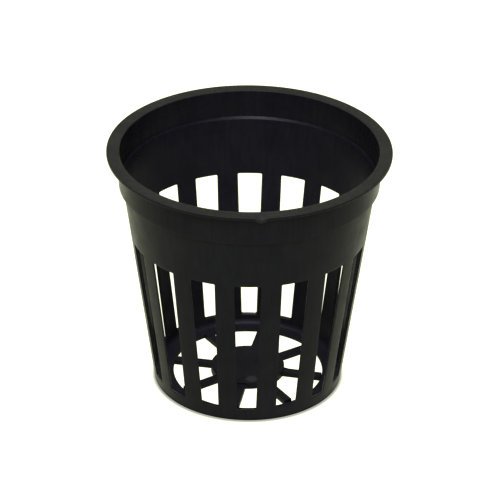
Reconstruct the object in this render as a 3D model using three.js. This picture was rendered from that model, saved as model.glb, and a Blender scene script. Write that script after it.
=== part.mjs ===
// Net pot: a small tapered plant cup in black plastic, with slots all round and a spoked floor,
// that hangs by its lip. Millimetres, +Z up, origin on the axis at the underside of the foot.
// The real pot is one moulding. It is built here zone by zone, from the foot up. Each zone is a
// closed solid that meets its neighbours face to face, so that together they are the whole pot.
import * as THREE from "three";

// Wall
const WALL = 0.5; // thickness, measured level, of the slotted wall and the collar
const FOOT_RADIUS = 19.05; // outside of the wall where its slope would reach the table
const WALL_TOP_RADIUS = 25.3; // outside of the wall just under the step
const STEP_Z = 44.5; // underside of the step

// Slots and ribs
const SLOT_COUNT = 16;
const SLOT_BOTTOM = 3.0;
const SLOT_TOP = 33.65;
const RIB_OUTER_WIDTH = 4.2;
const RIB_INNER_WIDTH = 3.5; // the slots' side faces have draft, so a rib is narrower inside

// Step, collar and lip
const STEP_WIDTH = 0.8; // how far the collar stands out over the wall
const STEP_DEPTH = 1.3; // from the step's underside to the ledge inside the mouth
const COLLAR_HEIGHT = 5.2; // from the ledge to the lip's underside
const COLLAR_FLARE = 0.3; // growth in radius from the step to the lip
const LIP_WIDTH = 2.1; // how far the lip stands out over the collar
const LIP_THICKNESS = 0.7;
const LIP_CHAMFER = 0.25;

// Foot and floor
const FOOT_HEIGHT = 0.5; // gap under the floor
const FOOT_WIDTH = 1.5;
const FOOT_CHAMFER = 0.4;
const RING_THICKNESS = 0.5; // floor between the wall and the open sectors
const RING_WIDTH = 3.55;
const CORNER_RADIUS = 1.1; // fillet inside, where the wall rises from the floor
const SPOKE_COUNT = 8;
const SPOKE_WIDTH = 1.7;
const SPOKE_THICKNESS = 1.05;
const HUB_RADIUS = 7.5;
const HUB_THICKNESS = 1.4;

// Fineness of the round shapes
const RING_SEGMENTS = 96;
const RIB_SEGMENTS = 4;
const CORNER_SEGMENTS = 4;

// Heights and radii that follow from the sizes above
const LEDGE_Z = STEP_Z + STEP_DEPTH;
const LIP_Z = LEDGE_Z + COLLAR_HEIGHT;
const RIM_Z = LIP_Z + LIP_THICKNESS;
const RING_TOP = FOOT_HEIGHT + RING_THICKNESS;
const RING_INNER_RADIUS = wallRadius(FOOT_HEIGHT) - RING_WIDTH;

// Angles: the slots are centred on X and Y, and the spokes point at every other rib
const RIB_PITCH = (2 * Math.PI) / SLOT_COUNT;
const FIRST_RIB = RIB_PITCH / 2;
const SPOKE_PITCH = (2 * Math.PI) / SPOKE_COUNT;
const FIRST_SPOKE = FIRST_RIB + RIB_PITCH;

// Outside of the sloping wall at a height.
function wallRadius(z) {
  return FOOT_RADIUS + ((WALL_TOP_RADIUS - FOOT_RADIUS) * z) / STEP_Z;
}

// Outside of the collar at a height.
function collarRadius(z) {
  return WALL_TOP_RADIUS + STEP_WIDTH + (COLLAR_FLARE * (z - STEP_Z)) / (LIP_Z - STEP_Z);
}

// Black moulded plastic: satin on the wall, a little duller on the lip and the floor.
function blackPlastic(color, roughness) {
  return new THREE.MeshStandardMaterial({ color, roughness, metalness: 0 });
}
const finish = {
  rim: () => blackPlastic(0x2f302a, 0.5),
  wall: () => blackPlastic(0x1f201f, 0.42),
  rib: () => blackPlastic(0x222321, 0.42),
  floor: () => blackPlastic(0x1d1d1f, 0.5),
};

const pot = new THREE.Group();

function add(name, geometry, material, turn = 0) {
  const mesh = new THREE.Mesh(geometry, material);
  mesh.name = name;
  mesh.rotation.z = turn;
  pot.add(mesh);
}

// A solid of revolution about Z from [radius, height] points. A ring's outline closes on itself.
function turned(outline, closed = true) {
  const points = outline.map(([radius, height]) => new THREE.Vector2(radius, height));
  if (closed) points.push(points[0].clone());
  return new THREE.LatheGeometry(points, RING_SEGMENTS).rotateX(Math.PI / 2);
}

// A band of wall between two heights, whose outside follows a slope.
function band(low, high, outside) {
  return turned([
    [outside(low) - WALL, low],
    [outside(low), low],
    [outside(high), high],
    [outside(high) - WALL, high],
  ]);
}

// Lip: a flat flange round the mouth, with its outer corners and its inner top corner eased.
function lipGeometry() {
  const outer = collarRadius(LIP_Z) + LIP_WIDTH;
  const inner = collarRadius(LIP_Z) - WALL;
  return turned([
    [inner, LIP_Z],
    [collarRadius(LIP_Z), LIP_Z],
    [outer - LIP_CHAMFER, LIP_Z],
    [outer, LIP_Z + LIP_CHAMFER],
    [outer, RIM_Z - LIP_CHAMFER],
    [outer - LIP_CHAMFER, RIM_Z],
    [inner + LIP_CHAMFER, RIM_Z],
    [inner, RIM_Z - LIP_CHAMFER],
  ]);
}

// Step: the shoulder that carries the collar, with the ledge on its inside.
function stepGeometry() {
  return turned([
    [wallRadius(STEP_Z) - WALL, STEP_Z],
    [collarRadius(STEP_Z), STEP_Z],
    [collarRadius(LEDGE_Z), LEDGE_Z],
    [wallRadius(LEDGE_Z) - WALL, LEDGE_Z],
  ]);
}

// Foot: the rim of the wall that stands on the table, its outer corner eased.
function footGeometry() {
  const inner = wallRadius(FOOT_HEIGHT) - FOOT_WIDTH;
  return turned([
    [inner, 0],
    [wallRadius(0) - FOOT_CHAMFER, 0],
    [wallRadius(FOOT_CHAMFER), FOOT_CHAMFER],
    [wallRadius(FOOT_HEIGHT), FOOT_HEIGHT],
    [inner, FOOT_HEIGHT],
  ]);
}

// Floor ring: the flat border of the floor, which runs out through the wall.
function floorRingGeometry() {
  return turned([
    [RING_INNER_RADIUS, FOOT_HEIGHT],
    [wallRadius(FOOT_HEIGHT), FOOT_HEIGHT],
    [wallRadius(RING_TOP), RING_TOP],
    [RING_INNER_RADIUS, RING_TOP],
  ]);
}

// Lower band: the wall between the floor and the slots, with a fillet in the inside corner.
function lowerBandGeometry() {
  const inside = (z) => wallRadius(z) - WALL;
  const outline = [
    [inside(SLOT_BOTTOM), SLOT_BOTTOM],
    [inside(RING_TOP + CORNER_RADIUS), RING_TOP + CORNER_RADIUS],
  ];
  for (let i = 1; i <= CORNER_SEGMENTS; i++) {
    const angle = (Math.PI / 2) * (i / CORNER_SEGMENTS);
    const z = RING_TOP + CORNER_RADIUS * (1 - Math.sin(angle));
    outline.push([inside(z) - CORNER_RADIUS * (1 - Math.cos(angle)), z]);
  }
  outline.push([wallRadius(RING_TOP), RING_TOP], [wallRadius(SLOT_BOTTOM), SLOT_BOTTOM]);
  return turned(outline);
}

// Hub: the solid disc in the middle of the floor.
function hubGeometry() {
  const top = FOOT_HEIGHT + HUB_THICKNESS;
  const outline = [
    [0, FOOT_HEIGHT],
    [HUB_RADIUS, FOOT_HEIGHT],
    [HUB_RADIUS, top],
    [0, top],
  ];
  return turned(outline, false);
}

// Rib: the upright between two slots, centred on +X. Its faces follow the wall's slope, and its
// width stays the same from the slots' foot to their head.
function ribGeometry() {
  const position = [];
  for (const z of [SLOT_BOTTOM, SLOT_TOP]) {
    for (let i = 0; i <= RIB_SEGMENTS; i++) {
      const across = i / RIB_SEGMENTS - 0.5;
      const outer = wallRadius(z);
      const inner = outer - WALL;
      const yOuter = across * RIB_OUTER_WIDTH;
      const yInner = across * RIB_INNER_WIDTH;
      position.push(Math.sqrt(outer * outer - yOuter * yOuter), yOuter, z);
      position.push(Math.sqrt(inner * inner - yInner * yInner), yInner, z);
    }
  }
  const outerAt = (level, i) => 2 * (level * (RIB_SEGMENTS + 1) + i);
  const innerAt = (level, i) => outerAt(level, i) + 1;
  const index = [];
  const quad = (a, b, c, d) => index.push(a, b, c, a, c, d);
  for (let i = 0; i < RIB_SEGMENTS; i++) {
    quad(outerAt(0, i), outerAt(0, i + 1), outerAt(1, i + 1), outerAt(1, i));
    quad(innerAt(0, i + 1), innerAt(0, i), innerAt(1, i), innerAt(1, i + 1));
    quad(outerAt(1, i), outerAt(1, i + 1), innerAt(1, i + 1), innerAt(1, i));
    quad(outerAt(0, i + 1), outerAt(0, i), innerAt(0, i), innerAt(0, i + 1));
  }
  const last = RIB_SEGMENTS;
  quad(outerAt(0, last), innerAt(0, last), innerAt(1, last), outerAt(1, last));
  quad(innerAt(0, 0), outerAt(0, 0), outerAt(1, 0), innerAt(1, 0));
  const geometry = new THREE.BufferGeometry();
  geometry.setAttribute("position", new THREE.Float32BufferAttribute(position, 3));
  geometry.setIndex(index);
  return geometry;
}

// The stretch of a faceted ring's edge that lies within half a width of a line turned from +X,
// as points in the line's own frame, from its right side to its left.
function edgeAcross(radius, turn, halfWidth) {
  const step = (2 * Math.PI) / RING_SEGMENTS;
  const corner = (k) => new THREE.Vector2(
    radius * Math.cos(k * step - turn),
    radius * Math.sin(k * step - turn),
  );
  const middle = Math.round(turn / step);
  const reach = Math.ceil(Math.asin(Math.min(1, halfWidth / radius)) / step) + 1;
  const points = [];
  for (let k = middle - reach; k < middle + reach; k++) {
    const from = corner(k);
    const to = corner(k + 1);
    for (const side of [-halfWidth, halfWidth]) {
      const share = (side - from.y) / (to.y - from.y);
      if (share > 0 && share < 1) points.push(from.clone().lerp(to, share));
    }
    if (Math.abs(to.y) < halfWidth) points.push(to);
  }
  return points.sort((a, b) => a.y - b.y);
}

// Spoke: a flat bar from the hub to the floor ring, along +X, cut to the facets that it meets.
function spokeGeometry(turn) {
  const atHub = edgeAcross(HUB_RADIUS, turn, SPOKE_WIDTH / 2);
  const atRing = edgeAcross(RING_INNER_RADIUS, turn, SPOKE_WIDTH / 2);
  const outline = new THREE.Shape([...atRing, ...atHub.reverse()]);
  const bar = new THREE.ExtrudeGeometry(outline, { depth: SPOKE_THICKNESS, bevelEnabled: false });
  return bar.translate(0, 0, FOOT_HEIGHT);
}

add("foot_ring", footGeometry(), finish.wall());
add("floor_ring", floorRingGeometry(), finish.floor());
add("floor_hub", hubGeometry(), finish.floor());
for (let i = 0; i < SPOKE_COUNT; i++) {
  const turn = FIRST_SPOKE + i * SPOKE_PITCH;
  add(`floor_spoke_${i + 1}`, spokeGeometry(turn), finish.floor(), turn);
}
add("lower_band", lowerBandGeometry(), finish.wall());
for (let i = 0; i < SLOT_COUNT; i++) {
  const turn = FIRST_RIB + i * RIB_PITCH;
  add(`wall_rib_${String(i + 1).padStart(2, "0")}`, ribGeometry(), finish.rib(), turn);
}
add("upper_band", band(SLOT_TOP, STEP_Z, wallRadius), finish.wall());
add("step_ledge", stepGeometry(), finish.wall());
add("collar", band(LEDGE_Z, LIP_Z, collarRadius), finish.wall());
add("rim_lip", lipGeometry(), finish.rim());

export default pot;
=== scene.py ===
"""Net pot in black moulded plastic: rim, slotted wall and open floor, on a pale studio floor."""

import math

import bmesh
import bpy
from bpy.props import FloatProperty, FloatVectorProperty, IntProperty, PointerProperty
from mathutils import Euler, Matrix, Quaternion, Vector, noise


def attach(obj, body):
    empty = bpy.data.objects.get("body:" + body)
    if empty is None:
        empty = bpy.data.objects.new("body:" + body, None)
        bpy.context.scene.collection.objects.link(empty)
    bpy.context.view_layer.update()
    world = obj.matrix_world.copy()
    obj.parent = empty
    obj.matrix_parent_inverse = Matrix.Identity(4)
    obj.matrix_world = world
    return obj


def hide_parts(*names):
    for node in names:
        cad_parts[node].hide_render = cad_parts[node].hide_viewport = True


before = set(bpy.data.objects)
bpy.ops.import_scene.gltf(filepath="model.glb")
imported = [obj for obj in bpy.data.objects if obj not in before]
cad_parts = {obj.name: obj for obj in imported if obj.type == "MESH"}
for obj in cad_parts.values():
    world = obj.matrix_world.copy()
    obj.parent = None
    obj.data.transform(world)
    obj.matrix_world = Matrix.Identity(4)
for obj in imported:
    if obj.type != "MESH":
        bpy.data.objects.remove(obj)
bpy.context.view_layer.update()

bl_info = {
    "name": "Net pot",
    "version": (1, 0, 0),
    "blender": (4, 5, 0),
    "location": "View3D > Sidebar > Net pot",
    "description": "Models a slotted plastic net pot and the studio round it",
    "category": "Object",
}

BODY = "root"
FULL_TURN = 2 * math.pi

# Edges that turn by more than this stay sharp when the plastic is shaded
CREASE = math.radians(35)

# Distances in metres: corners this close are merged, and places this close count as one
MERGED = 1e-7
SAME_PLACE = 1e-6


def length(name, description, metres):
    """A length that the sidebar shows in the scene's own unit."""
    return FloatProperty(
        name=name, description=description, default=metres, min=0, precision=5, unit="LENGTH"
    )


def share(name, description, value):
    """A number between 0 and 1."""
    return FloatProperty(
        name=name, description=description, default=value, min=0, max=1, subtype="FACTOR"
    )


def colour(name, description, value):
    """A colour swatch."""
    return FloatVectorProperty(
        name=name, description=description, default=value, size=3, min=0, max=1, subtype="COLOR"
    )


class NetPotSizes(bpy.types.PropertyGroup):
    """Sizes of the moulding."""

    wall: length("Wall", "Thickness of the wall and the collar, measured level", 0.0005)
    foot_radius: length("Foot radius", "Outside of the wall at the table", 0.01905)
    wall_top_radius: length("Wall top radius", "Outside of the wall under the step", 0.0253)
    step_z: length("Step height", "Height of the step's underside", 0.0445)

    slot_count: IntProperty(name="Slots", description="Slots round the wall", default=16, min=3)
    slot_bottom: length("Slot bottom", "Height of the slots' lower ends, outside", 0.003)
    slot_top: length("Slot top", "Height of the slots' upper ends, outside", 0.03365)
    slot_draft: length("Slot draft", "How much taller a slot is inside, at either end", 0.0004)
    rib_outer_width: length("Rib width", "Width of a rib on the outside", 0.0042)
    rib_inner_width: length("Rib inner width", "Width of a rib on the inside", 0.0035)
    slot_corner: length("Slot corner", "Radius of the slots' corners", 0.0002)
    slot_edge: length("Slot edge", "Rounding along the slots' edges", 0.0001)

    step_width: length("Step width", "How far the collar stands out over the wall", 0.0008)
    step_depth: length("Step depth", "From the step's underside up to the ledge", 0.0013)
    collar_height: length("Collar height", "From the ledge up to the lip", 0.0052)
    collar_flare: length("Collar flare", "Growth of the collar's radius up to the lip", 0.0003)
    lip_width: length("Lip width", "How far the lip stands out over the collar", 0.0021)
    lip_thickness: length("Lip thickness", "Thickness of the lip", 0.0007)
    lip_rounding: length("Lip rounding", "Rounding of the lip's outer edges", 0.00016)
    mouth_rounding: length("Mouth rounding", "Rounding of the lip's inner edge", 0.00018)
    step_rounding: length("Step rounding", "Rounding of the step's outer corner", 0.0001)
    ledge_drop: length("Ledge drop", "How far the ledge slopes down inwards", 0.00028)
    ledge_rounding: length("Ledge rounding", "Rounding of the ledge's corners", 0.00015)

    foot_height: length("Foot height", "Gap under the floor", 0.0005)
    foot_width: length("Foot width", "Width of the foot", 0.0015)
    foot_rounding: length("Foot rounding", "Rounding of the foot's outer edge", 0.00045)
    ring_thickness: length("Ring thickness", "Thickness of the floor's border", 0.0005)
    ring_width: length("Ring width", "Width of the floor's border, wall included", 0.00355)
    corner_radius: length("Corner radius", "Fillet inside, where the wall meets the floor", 0.0011)
    spoke_count: IntProperty(name="Spokes", description="Spokes in the floor", default=8, min=3)
    spoke_width: length("Spoke width", "Width of a spoke", 0.0017)
    spoke_thickness: length("Spoke thickness", "Thickness of a spoke", 0.00105)
    hub_radius: length("Hub radius", "Radius of the disc in the floor", 0.0075)
    hub_thickness: length("Hub thickness", "Thickness of the disc in the floor", 0.0014)
    hub_corner: length("Hub corner", "Radius of the floor openings' corners at the hub", 0.001)
    border_corner: length("Border corner", "Radius of their corners at the border", 0.0006)
    floor_edge: length("Floor edge", "Rounding along the floor's edges", 0.00012)
    border_left: length("Border left", "How much wider the border is at the left", 0.0004)
    border_right: length("Border right", "How much wider the border is at the right", 0.00025)

    wobble: length("Wobble", "How far the rim and wall wander from true", 0.00004)
    sag_width: length("Sag width", "Width of the small sag in the front of the lip", 0.0034)
    sag_depth: length("Sag depth", "How far the lip's underside hangs down there", 0.0006)
    sag_side: length("Sag side", "How far right of the pot's axis the sag lies", 0.0024)


class NetPotFinish(bpy.types.PropertyGroup):
    """Colours and sheen of the plastic, with painted light on the lip's top and painted shade on
    the ledge and down in the pot.
    """

    black: colour("Black", "Main colour of the plastic", (0.0064, 0.006, 0.0082))
    bloom: colour("Bloom", "Paler cast in the plastic", (0.0096, 0.0092, 0.0112))
    sheen: share("Sheen", "Strength of the surface reflection", 0.06)
    dust: share("Dust", "Strength of the fine dust that shows at a glancing angle", 0.002)
    dust_colour: colour("Dust colour", "Colour of the dust", (1.0, 1.0, 0.35))
    gloss: share("Gloss", "Roughness of the shiniest patches", 0.28)
    satin: share("Satin", "Roughness of the dullest patches", 0.43)
    # The lip's top faces are paler than the rest of the rim: painted light from above
    painted_light_lip_black: colour("Lip black", "Main colour of the scuffed lip", (0.0125, 0.0126, 0.0108))
    painted_light_lip_bloom: colour("Lip bloom", "Paler cast in the lip", (0.0185, 0.0187, 0.0155))
    lip_dullness: share("Lip dullness", "Roughness that the lip has over the wall", 0.2)
    # The ledge's top faces are darker than the wall by this factor: painted shade
    ledge_painted_shade: share("Ledge depth", "How pale the ledge's plastic is, against the wall's", 0.6)
    rim_polish: share("Rim polish", "Roughness that the rim has less than the wall", 0.08)
    ledge_polish: share("Ledge polish", "Roughness that the ledge has less than the wall", 0.02)
    # The floor's plastic, and the wall's inside round the fillet, are darker by this factor:
    # painted shade down in the pot
    floor_painted_shade: share("Floor depth", "How pale the floor's plastic is, against the wall's", 0.85)
    floor_dullness: share("Floor dullness", "Roughness that the floor has over the wall", 0.12)
    # Colour of a paler spot on the hub's top
    pale_spot: colour("Scar", "Colour of the scuffed spot on the hub", (0.02, 0.02, 0.019))


class NetPotStudio(bpy.types.PropertyGroup):
    """Camera, floor and light."""

    distance: length("Camera distance", "From the aim point to the camera", 0.742)
    elevation: FloatProperty(
        name="Elevation", description="Camera's height above the level",
        default=math.radians(29.24), subtype="ANGLE",
    )
    roll: FloatProperty(
        name="Roll", description="Turn of the camera about its own line of sight",
        default=math.radians(0.53), subtype="ANGLE",
    )
    aim_height: length("Aim height", "Height of the point the camera looks at", 0.02877)
    aim_side: length("Aim side", "How far right of the pot's axis the camera looks", 0.00027)
    lens: FloatProperty(name="Lens", description="Focal length in mm", default=264.8, min=1)
    floor_colour: colour("Floor", "Colour of the floor", (0.02, 0.02, 0.02))
    near_glow: FloatProperty(
        name="Near glow", description="Light from the floor in front of the pot", default=1.36,
        min=0,
    )
    near_cast: colour("Near cast", "Colour of the floor's light in front", (0.96, 1.0, 0.75))
    far_glow: FloatProperty(
        name="Far glow", description="Light from the floor behind the pot", default=1.38, min=0
    )
    far_cast: colour("Far cast", "Colour of the floor's light behind", (0.95, 1.0, 0.74))
    overhead: FloatProperty(
        name="Overhead box", description="Power of the soft box above, in watts", default=14, min=0
    )
    overhead_colour: colour("Overhead colour", "Colour of the soft box above", (0.93, 0.92, 1.0))
    front: FloatProperty(
        name="Front box", description="Power of the soft box in front, in watts", default=20, min=0
    )
    front_colour: colour("Front colour", "Colour of the soft box in front", (0.8, 0.83, 1.0))
    back_left: FloatProperty(
        name="Back left box", description="Power of the box behind on the left", default=8.4, min=0
    )
    back_left_colour: colour("Back left colour", "Colour of that box", (0.97, 1.0, 0.8))
    back_right: FloatProperty(
        name="Back right box", description="Power of the box behind on the right", default=10, min=0
    )
    back_right_colour: colour("Back right colour", "Colour of that box", (0.95, 1.0, 0.5))
    # Painted shadow: near the foot the floor's light turns to this grey
    shade: colour("Shade", "Colour of the floor where the foot touches it", (0.36, 0.36, 0.36))
    shade_width: length("Shade width", "How far the foot's shade reaches over the floor", 0.0008)
    contrast: FloatProperty(
        name="Contrast", description="Gamma of the picture", default=0.9, min=0.2, max=2
    )


# Shapes


def wall_radius(sizes, z):
    """Outside of the sloping wall at a height."""
    rise = sizes.wall_top_radius - sizes.foot_radius
    return sizes.foot_radius + rise * z / sizes.step_z


def collar_radius(sizes, z):
    """Outside of the collar at a height."""
    height = sizes.step_depth + sizes.collar_height
    flare = sizes.collar_flare * (z - sizes.step_z) / height
    return sizes.wall_top_radius + sizes.step_width + flare


def rim_height(sizes):
    """Height of the lip's top face."""
    return sizes.step_z + sizes.step_depth + sizes.collar_height + sizes.lip_thickness


def rounded_outline(corners, arc_steps=6, longest=0.001):
    """A closed outline from (radius, height, rounding) corners, its long sides split up."""
    points = []
    for i, (radius, height, rounding) in enumerate(corners):
        corner = Vector((radius, height))
        back = (Vector(corners[i - 1][:2]) - corner).normalized()
        ahead = (Vector(corners[(i + 1) % len(corners)][:2]) - corner).normalized()
        if not rounding:
            points.append(corner)
            continue
        half = back.angle(ahead) / 2
        centre = corner + (back + ahead).normalized() * rounding / math.sin(half)
        start = corner + back * rounding / math.tan(half) - centre
        end = corner + ahead * rounding / math.tan(half) - centre
        sweep = start.angle(end)
        for step in range(arc_steps + 1):
            angle = sweep * step / arc_steps
            spoke = start * math.sin(sweep - angle) + end * math.sin(angle)
            points.append(centre + spoke / math.sin(sweep))
    outline = []
    for here, there in zip(points, points[1:] + points[:1]):
        parts = max(1, math.ceil((there - here).length / longest))
        outline += [here.lerp(there, part / parts) for part in range(parts)]
    return outline


def add_piece(context, name, mesh_data, replaced):
    """Puts a finished mesh in the scene, riding on the pot, in place of its CAD nodes."""
    piece = bpy.data.objects.new(name, mesh_data)
    context.scene.collection.objects.link(piece)
    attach(piece, BODY)
    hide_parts(*replaced)
    return piece


def finish_mesh(work, name):
    """Closes a bmesh into smooth-shaded mesh data, its creases kept sharp."""
    bmesh.ops.remove_doubles(work, verts=work.verts, dist=MERGED)
    bmesh.ops.recalc_face_normals(work, faces=work.faces)
    mesh_data = bpy.data.meshes.new(name)
    work.to_mesh(mesh_data)
    work.free()
    mesh_data.shade_smooth()
    mesh_data.set_sharp_from_angle(angle=CREASE)
    return mesh_data


# How quickly the warp changes from place to place, in waves per metre
WARP_SCALE = 70


def settle(sizes, point):
    """Moves a point towards the axis by a slow noise, as a thin moulding warps."""
    x, y, z = point
    reach = math.hypot(x, y)
    if reach < SAME_PLACE:
        return Vector(point)
    drift = min(1.0, max(0.0, 0.5 + 0.5 * noise.noise(Vector(point) * WARP_SCALE)))
    closer = 1 - sizes.wobble * drift / reach
    return Vector((x * closer, y * closer, z))


def rim_outline(sizes):
    """Section through the step, the collar and the lip, up the outside and down the inside."""
    ledge = sizes.step_z + sizes.step_depth
    under = ledge + sizes.collar_height
    top = under + sizes.lip_thickness
    collar_top = collar_radius(sizes, under)
    drop = sizes.ledge_drop / 2
    return rounded_outline([
        (wall_radius(sizes, sizes.step_z), sizes.step_z, 0),
        (collar_radius(sizes, sizes.step_z), sizes.step_z, sizes.step_rounding),
        (collar_top, under, sizes.lip_rounding),
        (collar_top + sizes.lip_width, under, sizes.lip_rounding),
        (collar_top + sizes.lip_width, top, sizes.lip_rounding),
        (collar_top - sizes.wall, top, sizes.mouth_rounding),
        (collar_radius(sizes, ledge) - sizes.wall, ledge + drop, sizes.ledge_rounding),
        (wall_radius(sizes, ledge) - sizes.wall, ledge - drop, sizes.ledge_rounding),
        (wall_radius(sizes, sizes.step_z) - sizes.wall, sizes.step_z, 0),
    ])


# The sag grows from the collar outwards by this power, the lip's top sags less by this share, and
# corners up to this far below the lip's underside sag with it, in metres
SAG_CURVE = 1.5
SAG_THINNING = 0.15
SAG_MARGIN = 1e-5


def sagging_lip(sizes, work):
    """Lets the lip's outer edge sag at one spot in front, as a lip does that came off warm."""
    under = rim_height(sizes) - sizes.lip_thickness
    inside = collar_radius(sizes, under)
    for vertex in work.verts:
        reach = math.hypot(vertex.co.x, vertex.co.y)
        aside = (vertex.co.x - sizes.sag_side) / (sizes.sag_width / 2)
        behind = vertex.co.y > 0 or abs(aside) > 1
        if behind or reach < inside or vertex.co.z < under - SAG_MARGIN:
            continue
        outward = (reach - inside) / sizes.lip_width
        swell = 0.5 + 0.5 * math.cos(math.pi * aside)
        fall = sizes.sag_depth * swell * outward ** SAG_CURVE
        height = (vertex.co.z - under) / sizes.lip_thickness
        vertex.co.z -= fall * (1 - SAG_THINNING * height)
    return work


# Steps of a turned ring round the axis
RING_STEPS = 720


def turned_piece(sizes, outline):
    """A ring of quads swept once round the axis from an outline."""
    work = bmesh.new()
    rings = []
    for step in range(RING_STEPS):
        angle = FULL_TURN * step / RING_STEPS
        rings.append([
            work.verts.new(settle(sizes, (p.x * math.cos(angle), p.x * math.sin(angle), p.y)))
            for p in outline
        ])
    for ring, following in zip(rings, rings[1:] + rings[:1]):
        for k in range(len(outline)):
            along = (k + 1) % len(outline)
            work.faces.new((ring[k], ring[along], following[along], following[k]))
    return work


# A face counts as a top face when its normal rises by more than this; on the rim such faces get
# painted light on the lip and painted shade on the ledge
TOP_FACE = 0.3

# Half the share of the sag's width where the lip's edge gets the same painted light as its top
SAG_PAINTED_LIGHT = 0.35


class NETPOT_OT_rim(bpy.types.Operator):
    """Model the lip, the collar and the step as one turned piece"""

    bl_idname = "netpot.rim"
    bl_label = "Rim"

    def execute(self, context):
        sizes = context.scene.net_pot_sizes
        work = sagging_lip(sizes, turned_piece(sizes, rim_outline(sizes)))
        piece = add_piece(
            context, "rim", finish_mesh(work, "rim"), ["rim_lip", "collar", "step_ledge"]
        )
        finish = context.scene.net_pot_finish
        black, bloom = finish.black, finish.bloom
        # The ledge's plastic is the wall's made darker, as painted shade on the ledge's top faces
        painted_shade_ledge_black = faded(black, finish.ledge_painted_shade)
        painted_shade_ledge_bloom = faded(bloom, finish.ledge_painted_shade)
        # The lip's plastic is paler, as painted light on its top faces
        finishes = (
            ("rim plastic", black, bloom, -finish.rim_polish),
            ("painted light lip plastic", finish.painted_light_lip_black, finish.painted_light_lip_bloom, finish.lip_dullness),
            ("painted shade ledge plastic", painted_shade_ledge_black, painted_shade_ledge_bloom, -finish.ledge_polish),
        )
        for name, dark, pale, dullness in finishes:
            piece.data.materials.append(satin_plastic(context, name, dark, pale, dullness))
        self.share_out(sizes, piece)
        return {"FINISHED"}

    def share_out(self, sizes, piece):
        """Gives the lip's top and its sagging edge the lip's plastic, paler as painted light from
        above, and the ledge's top its own plastic, darker as painted shade.
        """
        lip, ledge = 1, 2
        half_up = rim_height(sizes) - sizes.lip_thickness - sizes.collar_height / 2
        edge = sizes.wall_top_radius + sizes.step_width + sizes.lip_width
        for face in piece.data.polygons:
            spot = face.center
            aside = abs(spot.x - sizes.sag_side)
            sagging = spot.y < 0 and aside < SAG_PAINTED_LIGHT * sizes.sag_width
            if face.normal.z > TOP_FACE:
                face.material_index = lip if spot.z > half_up else ledge
            elif sagging and math.hypot(spot.x, spot.y) > edge:
                face.material_index = lip


# Faces across a rib, a slot and both, up a slot, under it, over it, and round the fillet
RIB_COLUMNS = 8
SLOT_COLUMNS = 8
WALL_COLUMNS = RIB_COLUMNS + SLOT_COLUMNS
SLOT_ROWS = 40
FOOT_ROWS = 3
BAND_ROWS = 14
FILLET_ROWS = 6

# Longest face along the foot's section, in metres
FOOT_FACE = 0.0006

# The uneven ribs, by number: how far the rib's first and second edge stand off their even
# places, each at the slots' foot and at their head, in degrees
RIB_WANDER = {
    1: ((-1.0, 0.8), (0.0, 0.0)),
    4: ((-1.2, -0.5), (0.0, 0.0)),
    5: ((0.0, -1.0), (0.0, 0.0)),
    6: ((0.0, 0.0), (-0.4, -0.6)),
    9: ((0.0, 0.0), (-2.2, -1.3)),
    11: ((0.0, 0.0), (-0.6, -0.4)),
    13: ((2.0, 1.0), (2.3, 1.2)),
    14: ((1.7, 1.4), (0.0, 0.0)),
}


def spread(low, high, parts, ends=True):
    """Evenly spaced values from low to high, the last one left out unless ends is set."""
    return [low + (high - low) * i / parts for i in range(parts + (1 if ends else 0))]


def wall_section(sizes):
    """Section of the wall as (radius, height, half rib width) points, and the slot's rows in it.

    The points run up the outside and down the inside. The slot's rows pair an outside point with
    the inside point across the wall from it, which lies lower at the slot's foot and higher at
    its head by the slot's draft."""
    ring_top = sizes.foot_height + sizes.ring_thickness
    corner_top = ring_top + sizes.corner_radius
    outer_half = sizes.rib_outer_width / 2
    inner_half = sizes.rib_inner_width / 2
    foot_inside = wall_radius(sizes, sizes.foot_height) - sizes.foot_width
    foot = rounded_outline([
        (foot_inside, 0, 0),
        (wall_radius(sizes, 0), 0, sizes.foot_rounding),
        (wall_radius(sizes, sizes.foot_height), sizes.foot_height, 0),
        (foot_inside, sizes.foot_height, 0),
    ], longest=FOOT_FACE)
    climb = [p for p in foot if p.x > foot_inside + SAME_PLACE or p.y < SAME_PLACE]
    climb = [p for p in climb if p.y < sizes.foot_height - SAME_PLACE]
    section = [(p.x, p.y, outer_half) for p in climb]
    heights = spread(sizes.foot_height, sizes.slot_bottom, FOOT_ROWS, ends=False)
    low_row = len(section) + len(heights)
    heights += spread(sizes.slot_bottom, sizes.slot_top, SLOT_ROWS)
    heights += spread(sizes.slot_top, sizes.step_z, BAND_ROWS)[1:]
    section += [(wall_radius(sizes, z), z, outer_half) for z in heights]

    slot_low = sizes.slot_bottom - sizes.slot_draft
    slot_high = sizes.slot_top + sizes.slot_draft
    heights = spread(sizes.step_z, slot_high, BAND_ROWS, ends=False)
    high_row = len(section) + len(heights)
    heights += spread(slot_high, slot_low, SLOT_ROWS)
    heights.append(corner_top)
    section += [(wall_radius(sizes, z) - sizes.wall, z, inner_half) for z in heights]
    for turn in spread(0, math.pi / 2, FILLET_ROWS)[1:]:
        z = corner_top - sizes.corner_radius * math.sin(turn)
        inward = sizes.wall + sizes.corner_radius * (1 - math.cos(turn))
        section.append((wall_radius(sizes, z) - inward, z, inner_half))
    section.append((section[-1][0], sizes.foot_height, inner_half))
    section.append((foot_inside, sizes.foot_height, inner_half))
    facing = [(low_row + row, high_row + SLOT_ROWS - row) for row in range(SLOT_ROWS + 1)]
    return section, facing


def rib_shifts(sizes, rib, height):
    """How far a rib's two edges stand off their even places at a height."""
    rise = (height - sizes.slot_bottom) / (sizes.slot_top - sizes.slot_bottom)
    rise = min(1.0, max(0.0, rise))
    pairs = RIB_WANDER.get(rib % sizes.slot_count, ((0, 0), (0, 0)))
    return [math.radians(foot + (head - foot) * rise) for foot, head in pairs]


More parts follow.
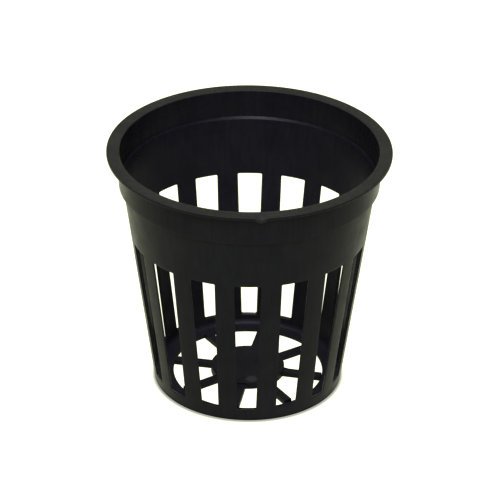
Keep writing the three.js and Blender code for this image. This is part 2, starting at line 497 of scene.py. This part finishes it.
def wall_angle(sizes, rib, part, radius, height, half):
    """Angle of one of the wall's columns: the first parts lie on the rib, the rest on its slot."""
    pitch = FULL_TURN / sizes.slot_count
    centre = pitch * rib + pitch / 2
    edge = math.asin(half / radius)
    low, high = rib_shifts(sizes, rib, height)
    if part <= RIB_COLUMNS:
        across = part / RIB_COLUMNS
        even = centre + math.asin(half / radius * (2 * across - 1))
        return even + (low + (high - low) * across)
    across = (part - RIB_COLUMNS) / SLOT_COLUMNS
    end = pitch - edge + rib_shifts(sizes, rib + 1, height)[0]
    return centre + edge + high + (end - edge - high) * across


def empty_work():
    """An empty bmesh whose edges can be marked for rounding."""
    work = bmesh.new()
    work.edges.layers.float.new("bevel_weight_edge")
    return work


def round_off(work, one, other, weight):
    """Marks the edge between two corners for rounding, by a share of the piece's largest one."""
    weights = work.edges.layers.float["bevel_weight_edge"]
    edge = work.edges.get((one, other))
    edge[weights] = max(edge[weights], weight)


def wall_columns(sizes, work, section):
    """Columns of corners round the wall: for each rib some across it, then some across its slot."""
    columns = []
    for rib in range(sizes.slot_count):
        for part in range(WALL_COLUMNS):
            column = []
            for radius, height, half in section:
                angle = wall_angle(sizes, rib, part, radius, height, half)
                column.append(work.verts.new(
                    settle(sizes, (radius * math.cos(angle), radius * math.sin(angle), height))
                ))
            columns.append(column)
    return columns


def cover_wall(work, columns, facing):
    """Quads over the wall and in the slots' sides and ends, with the slots left open."""
    outer_low, inner_low = facing[0]
    outer_high, inner_high = facing[-1]
    for number, column in enumerate(columns):
        following = columns[(number + 1) % len(columns)]
        in_slot = number % WALL_COLUMNS >= RIB_COLUMNS
        for k in range(len(column)):
            along = (k + 1) % len(column)
            through = outer_low <= k < outer_high or inner_high <= k < inner_low
            if in_slot and through:
                continue
            work.faces.new((column[k], column[along], following[along], following[k]))
        if in_slot:
            for outer, inner in (facing[0], facing[-1]):
                work.faces.new((
                    column[outer], following[outer], following[inner], column[inner],
                ))
        if number % WALL_COLUMNS in (0, RIB_COLUMNS):
            for (outer, inner), (outer_up, inner_up) in zip(facing, facing[1:]):
                work.faces.new((
                    column[outer], column[outer_up], column[inner_up], column[inner],
                ))


def soften_slots(sizes, work, columns, facing):
    """Marks the slots' edges for a small rounding and their four corners for the largest."""
    edge_share = sizes.slot_edge / sizes.slot_corner
    for number, column in enumerate(columns):
        following = columns[(number + 1) % len(columns)]
        if number % WALL_COLUMNS >= RIB_COLUMNS:
            for outer, inner in (facing[0], facing[-1]):
                round_off(work, column[outer], following[outer], edge_share)
                round_off(work, column[inner], following[inner], edge_share)
        if number % WALL_COLUMNS in (0, RIB_COLUMNS):
            for (outer, inner), (outer_up, inner_up) in zip(facing, facing[1:]):
                round_off(work, column[outer], column[outer_up], edge_share)
                round_off(work, column[inner], column[inner_up], edge_share)
            for outer, inner in (facing[0], facing[-1]):
                round_off(work, column[outer], column[inner], 1.0)


def slotted_wall(sizes):
    """The wall from foot to step, with its slots, as quads that follow the ribs' straight sides."""
    section, facing = wall_section(sizes)
    work = empty_work()
    columns = wall_columns(sizes, work, section)
    cover_wall(work, columns, facing)
    soften_slots(sizes, work, columns, facing)
    return work


def with_rounded_edges(context, piece, width, steps=3):
    """Rounds the edges that carry a bevel weight, and keeps the result as the piece's mesh."""
    rounding = piece.modifiers.new("rounding", "BEVEL")
    rounding.limit_method = "WEIGHT"
    rounding.width = width
    rounding.segments = steps
    rounding.use_clamp_overlap = True
    rounding.loop_slide = True
    context.view_layer.update()
    evaluated = piece.evaluated_get(context.evaluated_depsgraph_get())
    rounded = bpy.data.meshes.new_from_object(evaluated)
    rounded.name = piece.name
    piece.modifiers.clear()
    piece.data = rounded
    rounded.shade_smooth()
    rounded.set_sharp_from_angle(angle=CREASE)


# A face is on the wall's inside when it lies deeper in it than this share of the wall
INSIDE = 0.7


class NETPOT_OT_wall(bpy.types.Operator):
    """Model the slotted wall, its ribs, its bands and its foot as one moulding"""

    bl_idname = "netpot.wall"
    bl_label = "Slotted wall"

    def execute(self, context):
        sizes = context.scene.net_pot_sizes
        ribs = [f"wall_rib_{i + 1:02d}" for i in range(sizes.slot_count)]
        work = slotted_wall(sizes)
        piece = add_piece(
            context, "slotted_wall", finish_mesh(work, "slotted_wall"),
            ["foot_ring", "lower_band", "upper_band", *ribs],
        )
        with_rounded_edges(context, piece, sizes.slot_corner)
        finish = context.scene.net_pot_finish
        piece.data.materials.append(
            satin_plastic(context, "wall plastic", finish.black, finish.bloom)
        )
        # The wall's inside round the fillet gets the darker plastic: painted shade in the corner
        piece.data.materials.append(painted_shade_dull_plastic(context, "painted shade fillet plastic"))
        fillet_top = sizes.foot_height + sizes.ring_thickness + sizes.corner_radius
        for face in piece.data.polygons:
            spot = face.center
            middle = wall_radius(sizes, spot.z) - INSIDE * sizes.wall
            if math.hypot(spot.x, spot.y) < middle and spot.z < fillet_top:
                face.material_index = 1
        return {"FINISHED"}


# How far each spoke stands off its even place, in degrees
SPOKE_WANDER = (0, 0, -1.4, 0.5, 1.8, 1.9, -1.8, -0.9)

# The first spoke's place, in slots round from the pot's right
FIRST_SPOKE = 1.5

# Faces across a spoke, the gap beside it and both, and along a spoke
SPOKE_COLUMNS = 4
GAP_COLUMNS = 14
FLOOR_COLUMNS = SPOKE_COLUMNS + GAP_COLUMNS
SPOKE_ROWS = 8

# Rings of corners in the hub, as shares of its radius
HUB_RINGS = (0.25, 0.5, 0.75, 1)

# The border is wider only near the far left and right, by this power of how far aside it lies
BORDER_CURVE = 6


def spoke_middle(sizes, spoke):
    """Angle of a spoke's middle line."""
    pitch = FULL_TURN / sizes.spoke_count
    first = FULL_TURN / sizes.slot_count * FIRST_SPOKE
    wander = SPOKE_WANDER[spoke % len(SPOKE_WANDER)]
    return first + pitch * spoke + math.radians(wander)


def floor_angle(sizes, number, radius):
    """Angle of one of the floor's columns, which keep the spokes' sides straight."""
    spoke, part = divmod(number, FLOOR_COLUMNS)
    centre = spoke_middle(sizes, spoke)
    half = sizes.spoke_width / 2
    edge = math.asin(half / radius)
    if part <= SPOKE_COLUMNS:
        return centre + math.asin(half / radius * (2 * part / SPOKE_COLUMNS - 1))
    gap = spoke_middle(sizes, spoke + 1) - centre - 2 * edge
    return centre + edge + gap * (part - SPOKE_COLUMNS) / GAP_COLUMNS


class FloorMesh:
    """Rings of corners for the floor, the faces between them and the edges to round.

    Every ring has the same columns: for each spoke some across it, then some across its gap."""

    def __init__(self, sizes):
        self.sizes = sizes
        self.work = empty_work()
        self.around = range(sizes.spoke_count * FLOOR_COLUMNS)
        self.on_spokes = [n for n in self.around if n % FLOOR_COLUMNS < SPOKE_COLUMNS]
        self.on_gaps = [n for n in self.around if n % FLOOR_COLUMNS >= SPOKE_COLUMNS]
        self.spoke_sides = [n for n in self.around if n % FLOOR_COLUMNS in (0, SPOKE_COLUMNS)]

    def after(self, number):
        """The next column round the floor."""
        return (number + 1) % len(self.around)

    def spot(self, number, radius, height, hold=None):
        """A place on a column; hold keeps the column's angle as it is at another radius."""
        angle = floor_angle(self.sizes, number, hold or radius)
        return Vector((radius * math.cos(angle), radius * math.sin(angle), height))

    def ring(self, radius, height, hold=None):
        """A ring of corners."""
        return [self.work.verts.new(self.spot(n, radius, height, hold)) for n in self.around]

    def strip(self, inner, outer, columns):
        """Quads between two rings on some of the columns."""
        for number in columns:
            after = self.after(number)
            self.work.faces.new((inner[number], outer[number], outer[after], inner[after]))

    def disc(self, centre, rings):
        """Faces from a centre outwards through its rings."""
        for number in self.around:
            self.work.faces.new((centre, rings[0][number], rings[0][self.after(number)]))
        for inner, outer in zip(rings, rings[1:]):
            self.strip(inner, outer, self.around)

    def spoke_rows(self, border, top, underside):
        """Rows of corners over and under the spokes, on straight lines from hub to border."""
        tops, lows = [], []
        for row in range(1, SPOKE_ROWS):
            tops.append({})
            lows.append({})
            for number in self.around:
                if number % FLOOR_COLUMNS > SPOKE_COLUMNS:
                    continue
                near = self.spot(number, self.sizes.hub_radius, 0)
                far = self.spot(number, border, 0)
                spot = near.lerp(far, row / SPOKE_ROWS)
                tops[-1][number] = self.work.verts.new((spot.x, spot.y, top))
                lows[-1][number] = self.work.verts.new((spot.x, spot.y, underside))
        return tops, lows

    def cover_spokes(self, tops, lows, border_top):
        """Faces over, under and beside the spokes."""
        for rows in (tops, lows):
            for inner, outer in zip(rows, rows[1:]):
                self.strip(inner, outer, self.on_spokes)
        for number in self.spoke_sides:
            for row in range(SPOKE_ROWS):
                side = [
                    tops[row][number], tops[row + 1][number],
                    lows[row + 1][number], lows[row][number],
                ]
                if row == SPOKE_ROWS - 1:
                    # The spoke stands above the border, so its end face has one corner more
                    side.insert(2, border_top[number])
                self.work.faces.new(side)

    def soften(self, ring, columns, weight):
        """Marks a ring's edges for rounding on some of the columns."""
        for number in columns:
            round_off(self.work, ring[number], ring[self.after(number)], weight)

    def widen_border(self, border):
        """Moves the border's inner edge inwards at the left and the right."""
        for vertex in self.work.verts:
            reach = math.hypot(vertex.co.x, vertex.co.y)
            if abs(reach - border) < SAME_PLACE:
                aside = vertex.co.x / reach
                wider = self.sizes.border_left if aside < 0 else self.sizes.border_right
                wider *= aside ** BORDER_CURVE
                vertex.co.x *= 1 - wider / reach
                vertex.co.y *= 1 - wider / reach


def open_floor(sizes):
    """The floor: hub, spokes and border, as quads with a level underside and three top levels."""
    mesh = FloorMesh(sizes)
    underside = sizes.foot_height
    hub_top = underside + sizes.hub_thickness
    spoke_top = underside + sizes.spoke_thickness
    ring_top = underside + sizes.ring_thickness
    hub = sizes.hub_radius
    border = wall_radius(sizes, underside) - sizes.ring_width
    outside = wall_radius(sizes, ring_top) - sizes.wall - sizes.corner_radius

    top_centre = mesh.work.verts.new((0, 0, hub_top))
    low_centre = mesh.work.verts.new((0, 0, underside))
    hub_tops = [mesh.ring(hub * row, hub_top, hub) for row in HUB_RINGS]
    hub_lows = [mesh.ring(hub * row, underside, hub) for row in HUB_RINGS]
    hub_step = mesh.ring(hub, spoke_top)
    border_low = mesh.ring(border, underside)
    border_top = mesh.ring(border, ring_top)
    border_step = mesh.ring(border, spoke_top)
    middle = (border + outside) / 2
    out_lows = [mesh.ring(radius, underside, border) for radius in (middle, outside)]
    out_tops = [mesh.ring(radius, ring_top, border) for radius in (middle, outside)]

    mesh.disc(top_centre, hub_tops)
    mesh.disc(low_centre, hub_lows)
    mesh.strip(hub_tops[-1], hub_step, mesh.around)
    mesh.strip(hub_step, hub_lows[-1], mesh.on_gaps)
    mesh.strip(border_step, border_top, mesh.on_spokes)
    mesh.strip(border_top, border_low, mesh.on_gaps)
    for edge, rings in ((border_low, out_lows), (border_top, out_tops)):
        mesh.strip(edge, rings[0], mesh.around)
        mesh.strip(rings[0], rings[1], mesh.around)
    mesh.strip(out_lows[1], out_tops[1], mesh.around)

    tops, lows = mesh.spoke_rows(border, spoke_top, underside)
    tops = [hub_step, *tops, border_step]
    lows = [hub_lows[-1], *lows, border_low]
    mesh.cover_spokes(tops, lows, border_top)

    edge_share = sizes.floor_edge / sizes.hub_corner
    border_share = sizes.border_corner / sizes.hub_corner
    mesh.soften(hub_tops[-1], mesh.around, edge_share)
    for ring in (hub_lows[-1], border_low, border_top):
        mesh.soften(ring, mesh.on_gaps, edge_share)
    for number in mesh.spoke_sides:
        for rows in (tops, lows):
            for inner, outer in zip(rows, rows[1:]):
                round_off(mesh.work, inner[number], outer[number], edge_share)
        round_off(mesh.work, hub_step[number], hub_lows[-1][number], 1.0)
        round_off(mesh.work, border_top[number], border_low[number], border_share)
    mesh.widen_border(border)
    return mesh.work


# Where the pale spot lies on the hub, right and front of the pot's axis, in metres
PALE_SPOT_PLACE = (0.0008, -0.0058)


class NETPOT_OT_floor(bpy.types.Operator):
    """Model the pot's open floor: the hub, its spokes and the border"""

    bl_idname = "netpot.floor"
    bl_label = "Open floor"

    def execute(self, context):
        sizes = context.scene.net_pot_sizes
        spokes = [f"floor_spoke_{i + 1}" for i in range(sizes.spoke_count)]
        piece = add_piece(
            context, "open_floor", finish_mesh(open_floor(sizes), "open_floor"),
            ["floor_ring", "floor_hub", *spokes],
        )
        with_rounded_edges(context, piece, sizes.hub_corner, steps=5)
        # The floor's plastic is darker than the wall's: painted shade down in the pot
        painted_shade_floor_plastic = painted_shade_dull_plastic(context, "painted shade floor plastic")
        add_pale_spot(context, painted_shade_floor_plastic, Vector((*PALE_SPOT_PLACE, sizes.foot_height + sizes.hub_thickness)))
        piece.data.materials.append(painted_shade_floor_plastic)
        return {"FINISHED"}


# Finishes


def faded(tint, depth):
    """A colour made paler or darker by a factor."""
    return tuple(depth * part for part in tint)


def new_material(name):
    """A material with its node tree and its shader."""
    material = bpy.data.materials.new(name)
    material.use_nodes = True
    tree = material.node_tree
    return material, tree, tree.nodes["Principled BSDF"]


def add_node(tree, kind, inputs=None, **settings):
    """A new node: its settings by name, and values for its input sockets."""
    made = tree.nodes.new(kind)
    for name, value in settings.items():
        setattr(made, name, value)
    for socket, value in (inputs or {}).items():
        made.inputs[socket].default_value = value
    return made


def add_noise(tree, place, scale, detail=2, roughness=0.5):
    """A noise over the places that a socket gives."""
    made = add_node(tree, "ShaderNodeTexNoise", {
        "Scale": scale, "Detail": detail, "Roughness": roughness,
    })
    tree.links.new(place, made.inputs["Vector"])
    return made.outputs["Fac"]


def add_range(tree, source, start, end, low=0.0, high=1.0):
    """Turns a value's range from start to end into a range from low to high."""
    made = add_node(tree, "ShaderNodeMapRange", {
        "From Min": start, "From Max": end, "To Min": low, "To Max": high,
    })
    tree.links.new(source, made.inputs["Value"])
    return made.outputs["Result"]


def add_blend(tree, factor, first, second):
    """Blends two colours, each a socket or a plain value, by a factor."""
    made = add_node(tree, "ShaderNodeMix", data_type="RGBA")
    for name, value in (("A", first), ("B", second)):
        if isinstance(value, bpy.types.NodeSocket):
            tree.links.new(value, made.inputs[name])
        else:
            made.inputs[name].default_value = (*value, 1)
    tree.links.new(factor, made.inputs["Factor"])
    return made.outputs["Result"]


# Most of a noise lies between these two values
NOISE_LOW, NOISE_HIGH = 0.3, 0.7

# Scales of the plastic's noises, in waves per metre: its cast, its worn patches, its grain, and
# the drag marks, which are drawn out upwards by squeezing their height to this share
CAST_SCALE, WEAR_SCALE, GRAIN_SCALE = 140, 300, 9000
DRAG_SCALE, DRAG_SQUEEZE = 1400, 0.05

# The drag marks darken and lighten the colour by these factors
DRAG_DARK, DRAG_PALE = 0.86, 1.16

# Depth of the grain in metres and how strongly it shows
GRAIN_DEPTH, GRAIN_STRENGTH = 0.00002, 0.15
DUST_ROUGHNESS = 0.3


def satin_plastic(context, name, black, bloom, dullness=0.0):
    """Black moulded plastic: a fine grain, a slow cast, drag marks and patches of wear."""
    finish = context.scene.net_pot_finish
    material, tree, shader = new_material(name)
    shader.inputs["Specular IOR Level"].default_value = finish.sheen
    shader.inputs["Sheen Weight"].default_value = finish.dust
    shader.inputs["Sheen Roughness"].default_value = DUST_ROUGHNESS
    shader.inputs["Sheen Tint"].default_value = (*finish.dust_colour, 1)
    place = add_node(tree, "ShaderNodeTexCoord").outputs["Object"]

    cast = add_noise(tree, place, CAST_SCALE, detail=5, roughness=0.65)
    tone = add_blend(tree, add_range(tree, cast, NOISE_LOW, NOISE_HIGH), black, bloom)

    # Upright drag marks from the mould, paler and darker by turns
    upright = add_node(tree, "ShaderNodeMapping", {"Scale": (1, 1, DRAG_SQUEEZE)})
    tree.links.new(place, upright.inputs["Vector"])
    marks = add_noise(tree, upright.outputs["Vector"], DRAG_SCALE, detail=3)
    drag = add_node(tree, "ShaderNodeVectorMath", operation="SCALE")
    tree.links.new(tone, drag.inputs["Vector"])
    tree.links.new(
        add_range(tree, marks, NOISE_LOW, NOISE_HIGH, DRAG_DARK, DRAG_PALE), drag.inputs["Scale"]
    )
    tree.links.new(drag.outputs["Vector"], shader.inputs["Base Color"])

    patches = add_noise(tree, place, WEAR_SCALE, detail=4, roughness=0.6)
    worn = add_range(
        tree, patches, NOISE_LOW, NOISE_HIGH, finish.gloss + dullness, finish.satin + dullness
    )
    tree.links.new(worn, shader.inputs["Roughness"])

    grain = add_noise(tree, place, GRAIN_SCALE)
    bump = add_node(
        tree, "ShaderNodeBump", {"Strength": GRAIN_STRENGTH, "Distance": GRAIN_DEPTH}
    )
    tree.links.new(grain, bump.inputs["Height"])
    tree.links.new(bump.outputs["Normal"], shader.inputs["Normal"])
    return material


def painted_shade_dull_plastic(context, name):
    """The plastic down in the pot: a little duller than on the wall, and darker as painted shade.
    """
    finish = context.scene.net_pot_finish
    return satin_plastic(
        context, name, faded(finish.black, finish.floor_painted_shade),
        faded(finish.bloom, finish.floor_painted_shade), finish.floor_dullness,
    )


# The pale spot fades out between these two distances, and its edge is ragged by this much, all
# in metres, with so many waves per metre
PALE_SPOT_INNER, PALE_SPOT_OUTER = 0.0012, 0.0018
PALE_SPOT_RAGGED, PALE_SPOT_SCALE = 0.0008, 1500


def add_pale_spot(context, material, spot):
    """Makes the plastic paler round one spot, with a ragged edge."""
    tree = material.node_tree
    shader = tree.nodes["Principled BSDF"]
    place = add_node(tree, "ShaderNodeTexCoord").outputs["Object"]
    away = add_node(tree, "ShaderNodeVectorMath", {1: spot}, operation="DISTANCE")
    tree.links.new(place, away.inputs[0])
    ragged = add_noise(tree, place, PALE_SPOT_SCALE)
    shift = add_node(tree, "ShaderNodeMath", {1: PALE_SPOT_RAGGED}, operation="MULTIPLY_ADD")
    tree.links.new(ragged, shift.inputs[0])
    tree.links.new(away.outputs["Value"], shift.inputs[2])
    edge = add_range(tree, shift.outputs["Value"], PALE_SPOT_INNER, PALE_SPOT_OUTER, 1.0, 0.0)
    plain = shader.inputs["Base Color"].links[0].from_socket
    lightened = add_blend(tree, edge, plain, context.scene.net_pot_finish.pale_spot)
    tree.links.new(lightened, shader.inputs["Base Color"])


# The floor's light turns from its near to its far cast between these places, front to back
CAST_FRONT, CAST_BACK = -0.05, 0.12

# The paper's faint mottle: its waves per metre and how much it brightens
MOTTLE_SCALE, MOTTLE = 400, 1.04
PAPER_ROUGHNESS = 0.9


def distance_to_foot(context, tree, place):
    """Distance on the floor from the line where the foot stands."""
    flat = add_node(tree, "ShaderNodeVectorMath", {1: (1, 1, 0)}, operation="MULTIPLY")
    tree.links.new(place, flat.inputs[0])
    reach = add_node(tree, "ShaderNodeVectorMath", operation="LENGTH")
    tree.links.new(flat.outputs["Vector"], reach.inputs[0])
    foot = context.scene.net_pot_sizes.foot_radius
    beyond = add_node(tree, "ShaderNodeMath", {1: foot}, operation="SUBTRACT")
    tree.links.new(reach.outputs["Value"], beyond.inputs[0])
    away = add_node(tree, "ShaderNodeMath", operation="ABSOLUTE")
    tree.links.new(beyond.outputs["Value"], away.inputs[0])
    return away.outputs["Value"]


def pale_paper(context):
    """Matt paper floor that gives light, a little more behind the pot, with a faint mottle and a
    painted shadow round the foot.
    """
    studio = context.scene.net_pot_studio
    material, tree, shader = new_material("pale floor")
    shader.inputs["Base Color"].default_value = (*studio.floor_colour, 1)
    shader.inputs["Roughness"].default_value = PAPER_ROUGHNESS
    shader.inputs["Specular IOR Level"].default_value = 0.0
    place = add_node(tree, "ShaderNodeTexCoord").outputs["Object"]
    axes = add_node(tree, "ShaderNodeSeparateXYZ")
    tree.links.new(place, axes.inputs["Vector"])
    depth = add_range(tree, axes.outputs["Y"], CAST_FRONT, CAST_BACK)
    near = faded(studio.near_cast, studio.near_glow)
    far = faded(studio.far_cast, studio.far_glow)
    cast = add_blend(tree, depth, near, far)
    # Painted shadow round the foot: the floor's light turns to the shade colour within the shade
    # width
    clear = add_range(tree, distance_to_foot(context, tree, place), 0.0, studio.shade_width)
    glow_and_painted_shadow = add_blend(tree, clear, studio.shade, cast)
    tree.links.new(glow_and_painted_shadow, shader.inputs["Emission Color"])
    fibres = add_noise(tree, place, MOTTLE_SCALE)
    mottle = add_range(tree, fibres, 0.0, 1.0, 1.0, MOTTLE)
    tree.links.new(mottle, shader.inputs["Emission Strength"])
    return material


# The floor reaches this far to each side, in metres
FLOOR_REACH = 2
ROOM_LIGHT = 0.03

# Where the soft boxes hang and how large they are, in metres
OVERHEAD_SPOT, OVERHEAD_SIZE = (-0.065, 0, 1), (0.2, 0.2)
FRONT_SPOT, FRONT_SIZE = (0, -0.8, 0.85), (0.7, 0.7)
BACK_LEFT_SPOT, BACK_RIGHT_SPOT = (-0.8, 2.2, 0.3), (0.8, 2.2, 0.3)
BACK_SIZE = (1.6, 0.6)

# Width of the camera's sensor in mm, and the nearest and farthest it sees in metres
SENSOR = 36
NEAREST, FARTHEST = 0.01, 50


class NETPOT_OT_studio(bpy.types.Operator):
    """Set the pale floor, the soft light and the camera"""

    bl_idname = "netpot.studio"
    bl_label = "Studio"

    def execute(self, context):
        studio = context.scene.net_pot_studio
        self.lay_floor(context)
        self.light_room(context)
        aim = Vector((studio.aim_side, 0, studio.aim_height))
        back_off = Vector((0, -math.cos(studio.elevation), math.sin(studio.elevation)))
        camera_data = bpy.data.cameras.new("camera")
        camera_data.lens = studio.lens
        camera_data.sensor_width = SENSOR
        camera_data.clip_start = NEAREST
        camera_data.clip_end = FARTHEST
        camera = bpy.data.objects.new("camera", camera_data)
        context.scene.collection.objects.link(camera)
        camera.location = aim + back_off * studio.distance
        look = Euler((math.radians(90) - studio.elevation, 0, 0)).to_quaternion()
        camera.rotation_euler = (look @ Quaternion((0, 0, 1), studio.roll)).to_euler()
        context.scene.camera = camera
        context.scene.view_settings.view_transform = "Standard"
        context.scene.view_settings.gamma = studio.contrast
        return {"FINISHED"}

    def lay_floor(self, context):
        work = bmesh.new()
        bmesh.ops.create_grid(work, x_segments=8, y_segments=8, size=FLOOR_REACH)
        mesh_data = bpy.data.meshes.new("studio_floor")
        work.to_mesh(mesh_data)
        work.free()
        floor = bpy.data.objects.new("studio_floor", mesh_data)
        context.scene.collection.objects.link(floor)
        floor.data.materials.append(pale_paper(context))

    def light_room(self, context):
        studio = context.scene.net_pot_studio
        world = bpy.data.worlds.new("dim room")
        context.scene.world = world
        world.use_nodes = True
        background = world.node_tree.nodes["Background"]
        background.inputs["Color"].default_value = (ROOM_LIGHT, ROOM_LIGHT, ROOM_LIGHT, 1)
        boxes = (
            ("overhead", OVERHEAD_SPOT, OVERHEAD_SIZE, studio.overhead, studio.overhead_colour),
            ("front", FRONT_SPOT, FRONT_SIZE, studio.front, studio.front_colour),
            ("back left", BACK_LEFT_SPOT, BACK_SIZE, studio.back_left, studio.back_left_colour),
            ("back right", BACK_RIGHT_SPOT, BACK_SIZE, studio.back_right, studio.back_right_colour),
        )
        for side, spot, size, power, tint in boxes:
            self.hang_box(context, f"{side} box", spot, size, power, tint)

    def hang_box(self, context, name, spot, size, power, tint):
        """Hangs a soft box that faces the pot."""
        lamp = bpy.data.lights.new(name, "AREA")
        lamp.shape = "RECTANGLE"
        lamp.size, lamp.size_y = size
        lamp.energy = power
        lamp.color = tint
        box = bpy.data.objects.new(name, lamp)
        context.scene.collection.objects.link(box)
        box.location = spot
        box.rotation_euler = Vector(spot).to_track_quat("Z", "Y").to_euler()


class NETPOT_PT_panel(bpy.types.Panel):
    """Net pot tools in the 3D view's sidebar"""

    bl_idname = "NETPOT_PT_panel"
    bl_label = "Net pot"
    bl_space_type = "VIEW_3D"
    bl_region_type = "UI"
    bl_category = "Net pot"

    def draw(self, context):
        layout = self.layout
        for operator in STEPS:
            layout.operator(operator.bl_idname)
        for group in ("net_pot_sizes", "net_pot_finish", "net_pot_studio"):
            settings = getattr(context.scene, group)
            box = layout.box()
            for name in settings.__annotations__:
                box.prop(settings, name)


STEPS = (NETPOT_OT_rim, NETPOT_OT_wall, NETPOT_OT_floor, NETPOT_OT_studio)
GROUPS = (NetPotSizes, NetPotFinish, NetPotStudio)


def register():
    for made in (*GROUPS, *STEPS, NETPOT_PT_panel):
        bpy.utils.register_class(made)
    bpy.types.Scene.net_pot_sizes = PointerProperty(type=NetPotSizes)
    bpy.types.Scene.net_pot_finish = PointerProperty(type=NetPotFinish)
    bpy.types.Scene.net_pot_studio = PointerProperty(type=NetPotStudio)


def unregister():
    del bpy.types.Scene.net_pot_studio
    del bpy.types.Scene.net_pot_finish
    del bpy.types.Scene.net_pot_sizes
    for made in reversed((*GROUPS, *STEPS, NETPOT_PT_panel)):
        bpy.utils.unregister_class(made)


def main():
    register()
    bpy.ops.netpot.rim()
    bpy.ops.netpot.wall()
    bpy.ops.netpot.floor()
    bpy.ops.netpot.studio()


if __name__ == "__main__":
    main()
